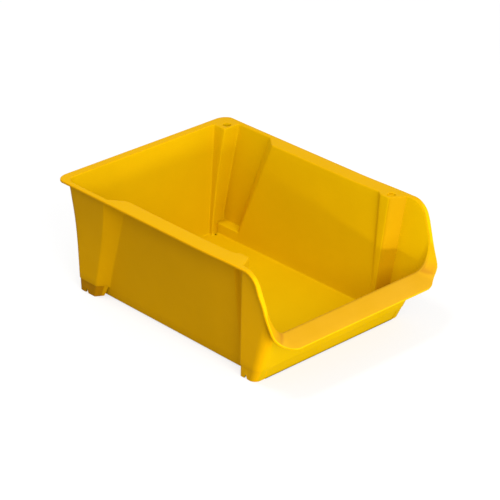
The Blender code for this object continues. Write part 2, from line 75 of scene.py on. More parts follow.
# Walls. A pair gives the value on the ground and at the height of the rim.
WALL = 0.002
PLATE = 0.0025
SIDE_FOOT_X = 0.0957
SIDE_DRAFT = 0.040
SIDE_BENDS = ((0.053, 0.040), (0.079, 0.075))
SIDE_BEND_SOFTNESS = 0.005
CHEEK_DRAFT = 0.083
PANEL_X = (0.0840, 0.0948)
BACK_WALL_Y = (-0.0108, -0.0080)
FRONT_Y = -0.2642
FRONT_LEAN = 0.45
FRONT_CORNER_FLARE = 0.125
REAR_STEP_OUTSET_Y = (-0.0353, -0.0683)
REAR_STEP_INSET_Y = (-0.0425, -0.0875)
REAR_STEP_INNER_LAG = 0.0035
FRONT_STEP_INSET_Y = (-0.2380, -0.2495)
FRONT_STEP_OUTSET_Y = (-0.2435, -0.2580)
GROOVE_START_Y = -0.234
GROOVE_END_Y = (-0.2368, -0.2390)
GROOVE_DEPTH = 0.0036

# Rear corner column: its inner face, and how far forward its two front edges reach
COLUMN_X = (0.0740, 0.0853)
COLUMN_INNER_Y = (-0.0180, -0.0262, 1.8)
COLUMN_WALL_Y = (-0.0110, -0.0262, 1.6)

# Radii
REAR_RADIUS = (0.0055, 0.0125)
STEP_RADIUS = 0.003
GROOVE_RADIUS = 0.0015
FRONT_RADIUS = 0.008
FRONT_RADIUS_GROWTH = 0.08
COLUMN_RADIUS = (0.0010, 0.0016)
RIM_CORNER_REACH = (0.013, 0.0105)
LEAST_INNER_RADIUS = 0.0008
LEAST_COLUMN_SETBACK = 0.0008
LONGEST_REACH = 0.48
SILL_CORNER_REACH = 0.0018
SILL_CORNER_SPREAD = 0.0016
SHOULDER_RADIUS = 0.018

# Open front
RISE_FROM, RISE_TO = -0.190, -0.262
OPENING_Y = -0.2781
OPENING_SLOPE = 0.365
LIP_Z = 0.062
LIP_FLAT = 0.006
LIP_CORNER_POWER = 1.75
FLANGE_TAPER = 0.12
FLANGE_TAPER_Z = 0.104
LIP_OUTER = (-0.3105, 0.0520)
EAR = ((0.1070, -0.2942, 0.0786), (0.1053, -0.3000, 0.0654), (0.1019, -0.3021, 0.0602),
       (0.0978, -0.3034, 0.0564), (0.0932, -0.3060, 0.0539), (0.0888, -0.3090, 0.0527))
EAR_PLACES = (0.30, 0.45, 0.58, 0.70, 0.82, 0.93)
CORNER_ARC_SHARE = 0.786
NOSE = (0.0012, 0.0036)

# Holes, feet and their notches. A place is X and Y; a notch has only its Y.
REAR_HOLE = (0.0944, -0.0193)
FRONT_HOLE = (0.0957, -0.2468)
HOLE_RADIUS = 0.0040
SOCKET_DEPTH = 0.015
RECESS_DEPTH = 0.0014
MOUTH_RADIUS = 0.0006
CUTTER_RISE = 0.004
FOOT_INSET = 0.0008
FOOT_STEP_REACH = 0.80
NOTCH_WIDTH = 0.0046
NOTCH_HEIGHT = 0.0045
NOTCH_BOTTOM = -0.001
NOTCH_TOP_SHARE = 0.3
NOTCH_X = (SIDE_FOOT_X - 0.006, SIDE_FOOT_X + 0.004)
NOTCH_PLACES = (-0.0234, -0.2512)

# Soft tints matched to the photo's tones: painted shade on the up-facing lip, the outside of the side walls,
# the up-facing rim tops and the inner front step, painted light on the outside towards the front, and darker
# rear foot skirts. A pair gives where its mask is 0 and 1, on an axis of the bin's frame, on the facing
# direction, or on X times the sideways facing, which is positive outside the side walls and negative inside
# them.
# Painted shade: the up-facing top of the front lip, darker and a little paler.
LIP_Y = (-0.122, -0.134)
LIP_MASK_Z = (0.044, 0.050)
UPWARD = (0.35, 0.70)
LIP_PAINTED_SHADE = (0.78, 0.67, 14.0)
FOOT_X = (0.0885, 0.0900)
FOOT_Z = (0.0136, 0.0128)
REARWARD = (0.0, 0.05)
FOOT_TINT = (0.70, 0.60, 0.60)
# Painted shade: the outside of the side walls, darker and more orange.
OUTSIDE = (0.02, 0.05)
OUTSIDE_PAINTED_SHADE = (1.05, 0.87, 0.60)
# Painted light: the outside of the side walls, brighter towards the front.
FORWARD = (-0.02, -0.09)
FRONT_PAINTED_LIGHT = (1.17, 1.17, 1.0)
# Painted shade: the up-facing rim tops, a little darker and more orange.
EDGE_TOP_Z = (0.1170, 0.1195)
RIM_TOP_PAINTED_SHADE = (1.0, 0.88, 1.0)
# Painted shade: the front-facing step faces inside the side walls, towards the front, darker.
INSIDE = (-0.015, -0.035)
STEP_FACING = (-0.30, -0.45)
STEP_PAINTED_SHADE = (0.82, 0.72, 1.0)

# Plastic
YELLOWS = ((0.30, (0.615, 0.372, 0.0004, 1.0)), (0.70, (0.650, 0.397, 0.0008, 1.0)))
ROUGHNESS = (0.42, 0.56)
PLASTIC_IOR = 1.49
PLASTIC_SPECULAR = 0.02

# Floor, lights and camera. A light has its aim, azimuth, elevation, distance, width, height and power.
FLOOR_HALF = 6.0
FLOOR_GREY = (0.25, 0.25, 0.25, 1.0)
FLOOR_GLOW = 0.72
WHITE = (1.0, 1.0, 1.0, 1.0)
WORLD_STRENGTH = 0.76
BIN_MIDDLE = Vector((0.0, 0.0, 0.06))
FRONT_FOOT = Vector((0.0, cad_low.y, 0.014))
LIGHTS = {
    "key": (BIN_MIDDLE, -20.0, 28.0, 2.4, 1.2, 1.2, 40.0),
    "overhead": (BIN_MIDDLE, -105.0, 76.0, 2.4, 0.5, 0.5, 22.0),
    "front_strip": (FRONT_FOOT, -5.0, 0.0, 0.30, 0.40, 0.02, 1.10),
}
CAMERA_PLACE = (-1.2971, -1.3963, 1.0311)
CAMERA_TILT = 63.08
CAMERA_TURN = -42.865
CAMERA_LENS = 161.87
SENSOR_WIDTH = 36.0
SMOOTH_ANGLE = 35.0

# Mesh density
HEIGHTS = 62
WALL_LEVELS = 14
HOLE_SIDES = 48
SHOULDER_STEPS = 48
SOLVE_ROUNDS = 24
TINY = 1e-9


def mix(a, b, t):
    return a + (b - a) * t


def smooth(t):
    t = min(1.0, max(0.0, t))
    return t * t * (3.0 - 2.0 * t)


def at_height(pair, z):
    return mix(pair[0], pair[1], z / RIM_Z)


def side_x(z):
    """Outer face of the rear bay walls: nearly upright low down, bending softly outwards in two places."""
    x = SIDE_FOOT_X + SIDE_DRAFT * z
    for height, draft in SIDE_BENDS:
        x += draft * SIDE_BEND_SOFTNESS * np.logaddexp(0.0, (z - height) / SIDE_BEND_SOFTNESS)
    return x


def front_y(z):
    return FRONT_Y - FRONT_LEAN * z


def rim_z(y):
    """The rim climbs gently towards the front shoulders."""
    return mix(RIM_Z, SHOULDER_Z, smooth((y - RISE_FROM) / (RISE_TO - RISE_FROM)))


def rounded(before, corner, after, reach_in, reach_out, steps):
    """A rounded corner as steps + 1 points, tangent to both sides. Reaches shorten on short sides."""
    a, b = before - corner, after - corner
    length_a, length_b = np.linalg.norm(a), np.linalg.norm(b)
    a = a * min(reach_in / length_a, LONGEST_REACH) if length_a > TINY else a
    b = b * min(reach_out / length_b, LONGEST_REACH) if length_b > TINY else b
    turn = [k / steps * pi / 2.0 for k in range(steps + 1)]
    return [corner + a * (1.0 - sin(t)) + b * (1.0 - cos(t)) for t in turn]


def reach(before, corner, after, radius):
    """How far from a corner an arc of this radius starts."""
    a, b = before - corner, after - corner
    cosine = np.dot(a, b) / (np.linalg.norm(a) * np.linalg.norm(b))
    half = np.arccos(np.clip(cosine, -1.0, 1.0)) / 2.0
    return radius / np.tan(half)


def offset_corners(corners, distance):
    """Mitred copy of an outline, moved to its right-hand side, which is the inside of the bin."""
    sides = [b - a for a, b in zip(corners, corners[1:])]
    normals = [np.array((d[1], -d[0])) / np.linalg.norm(d) for d in sides]
    moved = [corners[0] + normals[0] * distance]
    for corner, n1, n2 in zip(corners[1:-1], normals, normals[1:]):
        moved.append(corner + (n1 + n2) / (1.0 + np.dot(n1, n2)) * distance)
    moved.append(corners[-1] + normals[-1] * distance)
    return moved


# How many steps each piece of the half outline has. A round corner follows each straight up to the cheek.
STRAIGHT_STEPS = {"back": 12, "bay": 10, "rear_step": 5, "panel": 24, "slant": 3, "groove": 4,
                  "front_step": 5, "cheek": 40, "lip_end": 5, "lip": 12}
CORNER_STEPS = {"rear": 18, "rear_outset": 6, "rear_inset": 6, "groove_start": 3, "groove_end": 3,
                "front_inset": 5, "front_outset": 6, "front": 16}
COLUMN_STEPS = (4, 2, 4, 4, 4)
PATH = ("back", "rear", "bay", "rear_outset", "rear_step", "rear_inset", "panel", "groove_start", "slant",
        "groove_end", "groove", "front_inset", "front_step", "front_outset", "cheek", "front", "lip_end",
        "lip")


def piece_spans():
    """First and last station of each piece of the path."""
    spans, at = {}, 0
    for name in PATH:
        steps = STRAIGHT_STEPS.get(name) or CORNER_STEPS[name]
        spans[name] = (at, at + steps)
        at += steps
    return spans


SPANS = piece_spans()
LAST = SPANS["lip"][1]


def outer_corners(z):
    """Corners of the half outline of the outer wall at a height, from the back round to the front."""
    groove = at_height(PANEL_X, z) - GROOVE_DEPTH * z / RIM_Z
    points = [
        (0.0, at_height(BACK_WALL_Y, z)),
        (side_x(z), at_height(BACK_WALL_Y, z)),
        (side_x(z), at_height(REAR_STEP_OUTSET_Y, z)),
        (at_height(PANEL_X, z), at_height(REAR_STEP_INSET_Y, z)),
        (at_height(PANEL_X, z), GROOVE_START_Y),
        (groove, at_height(GROOVE_END_Y, z)),
        (groove, at_height(FRONT_STEP_INSET_Y, z)),
        (SIDE_FOOT_X + CHEEK_DRAFT * z, at_height(FRONT_STEP_OUTSET_Y, z)),
        (SIDE_FOOT_X + FRONT_CORNER_FLARE * z, front_y(z)),
        (0.0, front_y(z)),
    ]
    return [np.array(p) for p in points]


def corner_arcs(corners, radii, steps):
    """The rounded corners of an outline whose ends stay as they are."""
    arcs = []
    for k in range(1, len(corners) - 1):
        before, corner, after = corners[k - 1:k + 2]
        r = reach(before, corner, after, radii[k - 1])
        arcs.append(rounded(before, corner, after, r, r, steps[k - 1]))
    return arcs


def column_path(inner, z):
    """The inner surface in the rear corner: round the column instead of into the corner."""
    t = min(1.0, max(0.0, (z - POCKET_TOP) / (RIM_Z - POCKET_TOP)))
    back, corner, after = inner[0][1], inner[1], inner[2]
    face = at_height(COLUMN_X, z)
    low, high, power = COLUMN_INNER_Y
    face_y = mix(low, high, t ** power)
    low, high, power = COLUMN_WALL_Y
    wall_y = min(mix(low, high, 1.0 - (1.0 - t) ** power), back - LEAST_COLUMN_SETBACK)
    points = [np.array((0.0, back)), np.array((face, back)), np.array((face, face_y)),
              np.array((corner[0], wall_y)), after]
    radius = mix(*COLUMN_RADIUS, t)
    path = []
    for k, steps in zip((1, 2, 3), COLUMN_STEPS[0::2]):
        before, middle, following = points[k - 1:k + 2]
        r = reach(before, middle, following, radius)
        path.append(rounded(before, middle, following, r, r, steps))
    joined = list(path[0])
    for arc, straight in zip(path[1:], COLUMN_STEPS[1::2]):
        start = joined[-1]
        joined += [mix(start, arc[0], k / straight) for k in range(1, straight)]
        joined += arc
    return joined


def fill_path(start, arcs, end):
    """Joins the corner arcs with straights into one row of stations."""
    row, here = [], start
    straights = [name for name in PATH if name in STRAIGHT_STEPS and name not in ("lip_end", "lip")]
    for name, arc in zip(straights, arcs):
        steps = STRAIGHT_STEPS[name]
        row += [mix(here, arc[0], k / steps) for k in range(steps)]
        row += arc[:-1]
        here = arc[-1]
    goal = here + (end - here) / np.linalg.norm(end - here) * LIP_FLAT
    steps = STRAIGHT_STEPS["lip_end"]
    row += [mix(here, goal, k / steps) for k in range(steps)]
    steps = STRAIGHT_STEPS["lip"]
    return row + [mix(goal, end, k / steps) for k in range(steps + 1)]


def plan(z, column):
    """Outer and inner plan points of every station at a height, with or without the rear corner's column."""
    outer = outer_corners(z)
    inner = offset_corners(outer, WALL)
    inner[2][1] -= REAR_STEP_INNER_LAG * z / RIM_Z
    front_radius = FRONT_RADIUS + FRONT_RADIUS_GROWTH * z
    radii = (at_height(REAR_RADIUS, z), STEP_RADIUS, STEP_RADIUS, GROOVE_RADIUS, GROOVE_RADIUS, GROOVE_RADIUS,
             STEP_RADIUS, front_radius)
    turns = (-1, -1, 1, 1, 1, 1, -1, -1)
    inner_radii = [max(r + turn * WALL, LEAST_INNER_RADIUS) for r, turn in zip(radii, turns)]
    steps = [CORNER_STEPS[name] for name in PATH if name in CORNER_STEPS]
    outer_row = fill_path(outer[0], corner_arcs(outer, radii, steps), outer[-1])
    inner_arcs = corner_arcs(inner, inner_radii, steps)
    if column:
        inner_arcs[0] = column_path(inner, z)
    inner_row = fill_path(inner[0], inner_arcs, inner[-1])
    return np.array(outer_row), np.array(inner_row)


LEVELS = np.linspace(0.0, SHOULDER_Z + 0.001, HEIGHTS)
OUTER, INNER_RIGHT = (np.array(rows) for rows in zip(*(plan(z, True) for z in LEVELS)))
INNER_LEFT = np.array([plan(z, False)[1] for z in LEVELS])


def on_wall(table, station, z):
    """The 3-D point of a station's wall line at a height."""
    place = (z - LEVELS[0]) / (LEVELS[1] - LEVELS[0])
    k = int(min(max(place, 0.0), HEIGHTS - 2))
    x, y = mix(table[k, station], table[k + 1, station], place - k)
    return np.array((x, y, z))


def solve_height(test, low, high):
    """The height between low and high at which test turns from true to false."""
    for _ in range(SOLVE_ROUNDS):
        middle = (low + high) / 2.0
        if test(middle):
            low = middle
        else:
            high = middle
    return (low + high) / 2.0


# Edge of the opening and outer edge of the flange

def opening_side():
    """Side view of the rounded shoulder as (y, z) points."""
    corner = np.array((OPENING_Y, SHOULDER_Z))
    flat = corner + np.array((0.05, 0.0))
    slope = corner - np.array((OPENING_SLOPE, 1.0)) * 0.05
    r = reach(flat, corner, slope, SHOULDER_RADIUS)
    return rounded(flat, corner, slope, r, r, SHOULDER_STEPS)


SHOULDER = opening_side()


def opening_y(z):
    """How far forward the side walls reach at a height."""
    if z >= SHOULDER[-1][1]:
        ys = [p[0] for p in SHOULDER][::-1]
        zs = [p[1] for p in SHOULDER][::-1]
        return float(np.interp(z, zs, ys))
    return OPENING_Y - OPENING_SLOPE * (SHOULDER_Z - z)


def corner_share(station):
    """0 where the cheek meets the front corner, 1 where the lip is straight, measured along the wall."""
    start, turn_end = SPANS["front"]
    end = SPANS["lip_end"][1]
    if station <= turn_end:
        return CORNER_ARC_SHARE * (station - start) / (turn_end - start)
    return CORNER_ARC_SHARE + (1.0 - CORNER_ARC_SHARE) * min(1.0, (station - turn_end) / (end - turn_end))


def edge_height(inner, station):
    """Height of the flange's inner edge at a station."""
    if station < SPANS["front_outset"][0]:
        return rim_z(inner[-1, station][1])
    if station <= SPANS["front"][0]:
        if inner[-1, station][1] >= SHOULDER[0][0]:
            return rim_z(inner[-1, station][1])
        return solve_height(lambda z: on_wall(inner, station, z)[1] > opening_y(z), 0.060, SHOULDER_Z)
    top = edge_height(inner, SPANS["front"][0])
    return LIP_Z + (top - LIP_Z) * (1.0 - corner_share(station)) ** LIP_CORNER_POWER


def spline(points, places, at):
    """Catmull-Rom curve through points set at given places."""
    k = max(0, min(len(places) - 2, int(np.searchsorted(places, at) - 1)))
    t = (at - places[k]) / (places[k + 1] - places[k])
    p = [points[max(0, k - 1)], points[k], points[k + 1], points[min(len(points) - 1, k + 2)]]
    m1, m2 = (p[2] - p[0]) / 2.0, (p[3] - p[1]) / 2.0
    h = (2 * t**3 - 3 * t**2 + 1, t**3 - 2 * t**2 + t, -2 * t**3 + 3 * t**2, t**3 - t**2)
    return p[1] * h[0] + m1 * h[1] + p[2] * h[2] + m2 * h[3]


def flange_edge(inner, station):
    """The flange's outer edge, in three dimensions."""
    x, y, z = on_wall(inner, station, edge_height(inner, station))
    rear = SPANS["rear"]
    if station <= rear[0]:
        return np.array((OUTER[-1, station][0], 0.0, z))
    if station < rear[1]:
        corner = np.array((HALF_WIDTH, 0.0))
        back, side = np.array((0.0, 0.0)), np.array((HALF_WIDTH, -0.1))
        arc = rounded(back, corner, side, *RIM_CORNER_REACH, rear[1] - rear[0])
        return np.array((*arc[station - rear[0]], z))
    if station <= SPANS["front"][0]:
        return np.array((HALF_WIDTH - FLANGE_TAPER * max(0.0, FLANGE_TAPER_Z - z), y, z))
    share = corner_share(station)
    if share < 1.0:
        first = flange_edge(inner, SPANS["front"][0])
        end_x = on_wall(inner, SPANS["lip_end"][1], LIP_Z)[0]
        points = [first] + [np.array(p) for p in EAR] + [np.array((end_x, *LIP_OUTER))]
        return spline(points, (0.0, *EAR_PLACES, 1.0), share)
    return np.array((x, *LIP_OUTER))


def directions(rows):
    """Unit tangents along a row of points that is mirrored at both ends."""
    flip = np.array((-1.0, 1.0, 1.0))
    padded = [rows[1] * flip] + list(rows) + [rows[-2] * flip]
    tangents = [b - a for a, b in zip(padded, padded[2:])]
    return [t / np.linalg.norm(t) for t in tangents]


def unit(v):
    return v / np.linalg.norm(v)


# Sill and foot places in plan

def sill_shares(inner):
    """The stations' places on the low rectangle round the floor, as shares of its half width and length."""
    base = inner[level_of(POCKET_TOP)]
    wide = at_height(PANEL_X, POCKET_TOP) - WALL
    top, bottom = base[0][1], base[-1][1]
    return [np.array((min(1.0, x / wide), (y - top) / (bottom - top))) for x, y in base]


def level_of(z):
    return int(round(z / (LEVELS[1] - LEVELS[0])))


def sill_plan(inner, z, inside):
    """Plan of the sill's inner or outer face at a height, with slightly rounded corners."""
    shift = WALL if inside else 0.0
    back = at_height(BACK_WALL_Y, z) - shift
    front = front_y(z) + shift
    wide = at_height(PANEL_X, z) - shift
    shares = sill_shares(inner)
    row = [np.array((x * wide, mix(back, front, y))) for x, y in shares]
    corner = np.array((wide, front))
    gaps = [np.linalg.norm(p - corner) for p in row]
    nearest = int(np.argmin(gaps))
    run = [k for k in range(nearest - 8, nearest + 9) if gaps[k] < gaps[nearest] + SILL_CORNER_SPREAD]
    first, last = run[0] - 1, run[-1] + 1
    arc = rounded(row[first], corner, row[last], SILL_CORNER_REACH, SILL_CORNER_REACH, len(run) - 1)
    for k, point in zip(run, arc):
        row[k] = point
    return row


def foot_share(station):
    """Whether a foot skirt stands under a station."""
    step_start, step_end = SPANS["rear_outset"][1], SPANS["rear_inset"][0]
    rear_end = step_start + FOOT_STEP_REACH * (step_end - step_start)
    front_start = SPANS["front_step"][0] + (1.0 - FOOT_STEP_REACH) * STRAIGHT_STEPS["front_step"]
    on_back = OUTER[6, station][0] >= at_height(PANEL_X, FLOOR_LOW) and station <= rear_end
    return on_back or station >= front_start


def hollow_height(station, sill_point):
    """Underside level behind the foot skirt: the pocket floor in the bays, the main floor elsewhere."""
    return POCKET_LOW if OUTER[0, station][0] > sill_point[0] + WALL else FLOOR_LOW


def inward(table, level, station, distance):
    """A wall point moved horizontally towards the inside of the bin."""
    row = table[level]
    after = row[min(station + 1, LAST)]
    before = row[max(station - 1, 0)]
    d = unit(after - before)
    return row[station] + np.array((d[1], -d[0])) * distance


def with_z(point, z):
    return np.array((point[0], point[1], z))


def nose_reach(station):
    """Size of the rolled edge: small round the back and down the cheeks, larger along the lip."""
    start, end = SPANS["front"]
    return mix(*NOSE, smooth((station - start) / (end - start)))


# Sections. The floor's inner ring is its outline shrunk by shares in X and Y. The flange's underside is
# looked for between a height and a margin above the edge.
FLOOR_PULL = (0.94, 0.96)
UNDER_SEARCH = (0.030, 0.004)
SHEAR_STEP = 0.005
LEAST_SHEAR = 0.35

# How far a section's corner is rounded before and after it, and in how many steps
UNDER_ROUND = 0.0014
NOSE_STEPS = 8
UNDER_STEPS = 5
FLOOR_ROUNDS = ((0.0015, 0.0015, 4), (0.0006, 0.0006, 3), (0.0012, 0.0012, 4))
EDGE_ROUNDS = ((0.0008, 0.0008, 4), (0.0008, 0.0008, 4))
FOOT_ROUNDS = ((0.0004, 0.0003, 2), (0.0003, 0.0004, 2), (0.0005, 0.0005, 3), (0.0005, 0.0005, 3))
HOLLOW_ROUNDS = ((0.0008, 0.0008, 3), (0.0008, 0.0008, 3), (0.0008, 0.0008, 3))


def flange_under(station, inner_edge, outer_edge, along_inner, along_outer):
    """The lower corners of the flange: where its underside meets the wall, and below its outer edge."""
    wide = unit(outer_edge - inner_edge)
    normal_in = unit(np.cross(wide, along_inner))
    normal_out = unit(np.cross(wide, along_outer))
    if normal_in[2] < 0.0:
        normal_in, normal_out = -normal_in, -normal_out
    under = inner_edge - normal_in * PLATE
    lowest, margin = UNDER_SEARCH
    height = solve_height(lambda z: np.dot(on_wall(OUTER, station, z) - under, normal_in) < 0.0,
                          lowest, inner_edge[2] + margin)
    return on_wall(OUTER, station, height), outer_edge - normal_out * PLATE


def shear(table, station, point, along):
    """1 where the wall runs square to its edge, less where the edge slopes along the wall."""
    down = unit(on_wall(table, station, point[2] - SHEAR_STEP) - point)
    return max(LEAST_SHEAR, np.linalg.norm(np.cross(down, along)))


def foot_corners(station, sill_point, floor_edge):
    """Corners of the foot skirt and of the hollow behind it; without a foot the skirt shrinks to a point."""
    sill_under = with_z(sill_point, POCKET_LOW)
    if not foot_share(station):
        return [on_wall(OUTER, station, POCKET_LOW)] * 4 + [sill_under]
    hollow = hollow_height(station, sill_point)
    rise = (hollow - FLOOR_LOW) / (POCKET_LOW - FLOOR_LOW)
    sill_under[:2] = mix(floor_edge[:2], sill_under[:2], rise)
    sill_under[2] = hollow
    inset = FOOT_INSET + WALL
    return [
        with_z(inward(OUTER, level_of(POCKET_TOP), station, FOOT_INSET), POCKET_TOP - FOOT_INSET / 2.0),
        with_z(inward(OUTER, 0, station, FOOT_INSET), 0.0),
        with_z(inward(OUTER, 0, station, inset), 0.0),
        with_z(inward(OUTER, level_of(hollow), station, inset), hollow),
        sill_under,
    ]


def pulled_in(point, middle_y):
    """A point of the floor's outline, moved a little towards the middle of the floor."""
    return np.array((point[0] * FLOOR_PULL[0], mix(middle_y, point[1], FLOOR_PULL[1]), point[2]))


def wall_between(table, station, start, end):
    """Points up or down a wall, between two of its points."""
    return [on_wall(table, station, mix(start[2], end[2], k / WALL_LEVELS)) for k in range(1, WALL_LEVELS)]


def thirds_between(start, end):
    return [mix(start, end, k / 3) for k in (1, 2)]


def section(corners, rounds, fills):
    """A section's corners, each rounded but the two ends. A fill adds points after the corner it is for."""
    arcs = [rounded(before, corner, after, *turn)
            for before, corner, after, turn in zip(corners, corners[1:], corners[2:], rounds)]
    points = [corners[0]]
    for k, arc in enumerate(arcs):
        points += arc
        if k in fills:
            points += fills[k](arc[-1], arcs[k + 1][0])
    return points + [corners[-1]]


def build_sections(inner):
    """Every station's section, from the floor's top over the flange to the floor's underside."""
    stations = range(LAST + 1)
    inner_edge = [on_wall(inner, i, edge_height(inner, i)) for i in stations]
    outer_edge = [flange_edge(inner, i) for i in stations]
    along_inner = directions(inner_edge)
    along_outer = directions(outer_edge)
    sill_foot = sill_plan(inner, FLOOR_TOP, True)
    sill_top = sill_plan(inner, POCKET_TOP, True)
    floor_edge = sill_plan(inner, FLOOR_LOW, False)
    sill_under = sill_plan(inner, POCKET_LOW, False)
    middle_y = (sill_foot[0][1] + sill_foot[LAST][1]) / 2.0
    sections = []
    for i in stations:
        corner_under, edge_under = flange_under(i, inner_edge[i], outer_edge[i],
                                                along_inner[i], along_outer[i])
        roll = nose_reach(i)
        nose = (roll / shear(inner, i, inner_edge[i], along_inner[i]), roll, NOSE_STEPS)
        under = (UNDER_ROUND, UNDER_ROUND / shear(OUTER, i, corner_under, along_inner[i]), UNDER_STEPS)
        foot = with_z(sill_foot[i], FLOOR_TOP)
        edge = with_z(floor_edge[i], FLOOR_LOW)
        corners = [pulled_in(foot, middle_y), foot, with_z(sill_top[i], POCKET_TOP),
                   on_wall(inner, i, POCKET_TOP), inner_edge[i], outer_edge[i], edge_under, corner_under,
                   on_wall(OUTER, i, POCKET_TOP),
                   *foot_corners(i, sill_under[i], edge), edge, pulled_in(edge, middle_y)]
        rounds = (*FLOOR_ROUNDS, nose, *EDGE_ROUNDS, under, *FOOT_ROUNDS, *HOLLOW_ROUNDS)
        fills = {2: partial(wall_between, inner, i), 3: thirds_between, 5: thirds_between,
                 6: partial(wall_between, OUTER, i)}
        sections.append(section(corners, rounds, fills))
    return sections


def shell_mesh(name, right, left):
    """The closed mesh: the right half's sections, the left half's mirrored ones, and two floor faces."""
    flip = np.array((-1.0, 1.0, 1.0))
    ring = right + [[p * flip for p in section] for section in reversed(left[1:-1])]
    bm = bmesh.new()
    shift = Vector((0.0, BACK, 0.0))
    grid = [[bm.verts.new(Vector(p) + shift) for p in section] for section in ring]
    count = len(grid[0])
    for a, b in zip(grid, grid[1:] + grid[:1]):
        for k in range(count - 1):
            bm.faces.new((a[k], a[k + 1], b[k + 1], b[k]))
    bm.faces.new([section[0] for section in grid])
    bm.faces.new([section[-1] for section in reversed(grid)])
    bmesh.ops.remove_doubles(bm, verts=bm.verts, dist=2e-6)
    bmesh.ops.dissolve_degenerate(bm, edges=bm.edges, dist=1e-6)
    bmesh.ops.recalc_face_normals(bm, faces=bm.faces)
    mesh = bpy.data.meshes.new(name)
    bm.to_mesh(mesh)
    bm.free()
    return mesh


def make_shell():
    mesh = shell_mesh("bin_shell", build_sections(INNER_RIGHT), build_sections(INNER_LEFT))
    return link(bpy.data.objects.new("bin_shell", mesh))


# Holes and notches

def link(item):
    bpy.context.scene.collection.objects.link(item)
    return item


def turned_cutter(name, place, profile):
    """A closed turned solid round a vertical axis; the profile is (radius, z) points from bottom to top."""
    bm = bmesh.new()
    rings = []
    turns = [2 * pi * k / HOLE_SIDES for k in range(HOLE_SIDES)]
    for radius, z in profile:
        rings.append([bm.verts.new((place[0] + radius * cos(turn), place[1] + BACK + radius * sin(turn), z))
                      for turn in turns])
    for a, b in zip(rings, rings[1:]):
        for k in range(HOLE_SIDES):
            after = (k + 1) % HOLE_SIDES
            bm.faces.new((a[k], a[after], b[after], b[k]))
    bm.faces.new(rings[0][::-1])
    bm.faces.new(rings[-1])
    mesh = bpy.data.meshes.new(name)
    bm.to_mesh(mesh)
    bm.free()
    return link(bpy.data.objects.new(name, mesh))


def hole_profile(bottom, surface):
    """A bore with a softened mouth."""
    profile = [(HOLE_RADIUS, bottom)]
    for k in range(5):
        turn = k / 4 * pi / 2
        profile.append((HOLE_RADIUS + MOUTH_RADIUS * (1 - cos(turn)),
                        surface - MOUTH_RADIUS + MOUTH_RADIUS * sin(turn)))
    return profile + [(HOLE_RADIUS + MOUTH_RADIUS, surface + CUTTER_RISE)]


def notch_cutter(name, side, y):
    """A tapered slot across the foot skirt, open at the bottom."""
    bm = bmesh.new()
    half = NOTCH_WIDTH / 2
    top = half * NOTCH_TOP_SHARE
    outline = [(-half, NOTCH_BOTTOM), (-half, 0.0), (-top, NOTCH_HEIGHT), (top, NOTCH_HEIGHT), (half, 0.0),
               (half, NOTCH_BOTTOM)]
    ends = [[bm.verts.new((side * x, y + BACK + dy, z)) for dy, z in outline] for x in NOTCH_X]
    count = len(outline)
    for k in range(count):
        bm.faces.new((ends[0][k], ends[0][(k + 1) % count], ends[1][(k + 1) % count], ends[1][k]))
    bm.faces.new(ends[0][::-1])
    bm.faces.new(ends[1])
    bmesh.ops.recalc_face_normals(bm, faces=bm.faces)
    mesh = bpy.data.meshes.new(name)
    bm.to_mesh(mesh)
    bm.free()
    return link(bpy.data.objects.new(name, mesh))


def cutters():
    """The peg hole and the shallow recess, on the right only, and the notches in all four feet."""
    front_top = rim_z(FRONT_HOLE[1])
    made = [turned_cutter("rear_bore", REAR_HOLE, hole_profile(RIM_Z - SOCKET_DEPTH, RIM_Z)),
            turned_cutter("front_recess", FRONT_HOLE, hole_profile(front_top - RECESS_DEPTH, front_top))]
    return made + [notch_cutter("notch", side, y) for side in (1, -1) for y in NOTCH_PLACES]


def carve(item, tools):
    """Cuts the tools out of a piece for good, then removes them."""
    for tool in tools:
        cut = item.modifiers.new("cut", "BOOLEAN")
        cut.operation = "DIFFERENCE"
        cut.solver = "EXACT"
        cut.object = tool
    graph = bpy.context.evaluated_depsgraph_get()
    graph.update()
    mesh = bpy.data.meshes.new_from_object(item.evaluated_get(graph))
    item.modifiers.clear()
    item.data = mesh
    for tool in tools:
        bpy.data.objects.remove(tool)


# Materials

def node(tree, kind, place, **inputs):
    made = tree.nodes.new(kind)
    made.location = place
    for name, value in inputs.items():
        made.inputs[name.replace("_", " ")].default_value = value
    return made


def calc(tree, operation, *sockets):
    """A math node over one or two sockets."""
    made = node(tree, "ShaderNodeMath", (-900, 800))
    made.operation = operation
    for k, socket in enumerate(sockets):
        tree.links.new(socket, made.inputs[k])
    return made.outputs["Value"]


def ramp(tree, socket, start, end):
    """0 at start, 1 at end, soft between them."""
    made = node(tree, "ShaderNodeMapRange", (-900, 600))
    made.interpolation_type = "SMOOTHSTEP"
    made.inputs["From Min"].default_value = start
    made.inputs["From Max"].default_value = end
    tree.links.new(socket, made.inputs["Value"])
    return made.outputs["Result"]


def tinted(tree, colour, mask, tint):
    """The colour multiplied by a tint where the mask is 1."""
    made = node(tree, "ShaderNodeMixRGB", (-500, 500))
    made.blend_type = "MULTIPLY"
    tree.links.new(mask, made.inputs["Fac"])
    tree.links.new(colour, made.inputs["Color1"])
    made.inputs["Color2"].default_value = (*tint, 1.0)
    return made.outputs["Color"]


def masked(tree, limits):
    """The product of soft ramps, each a socket with its values at 0 and at 1."""
    masks = [ramp(tree, socket, *ends) for socket, ends in limits]
    made = masks[0]
    for mask in masks[1:]:
        made = calc(tree, "MULTIPLY", made, mask)
    return made


def split(tree, socket, height):
    """The X, Y and Z of a vector socket."""
    made = node(tree, "ShaderNodeSeparateXYZ", (-1100, height))
    tree.links.new(socket, made.inputs["Vector"])
    return [made.outputs[axis] for axis in "XYZ"]


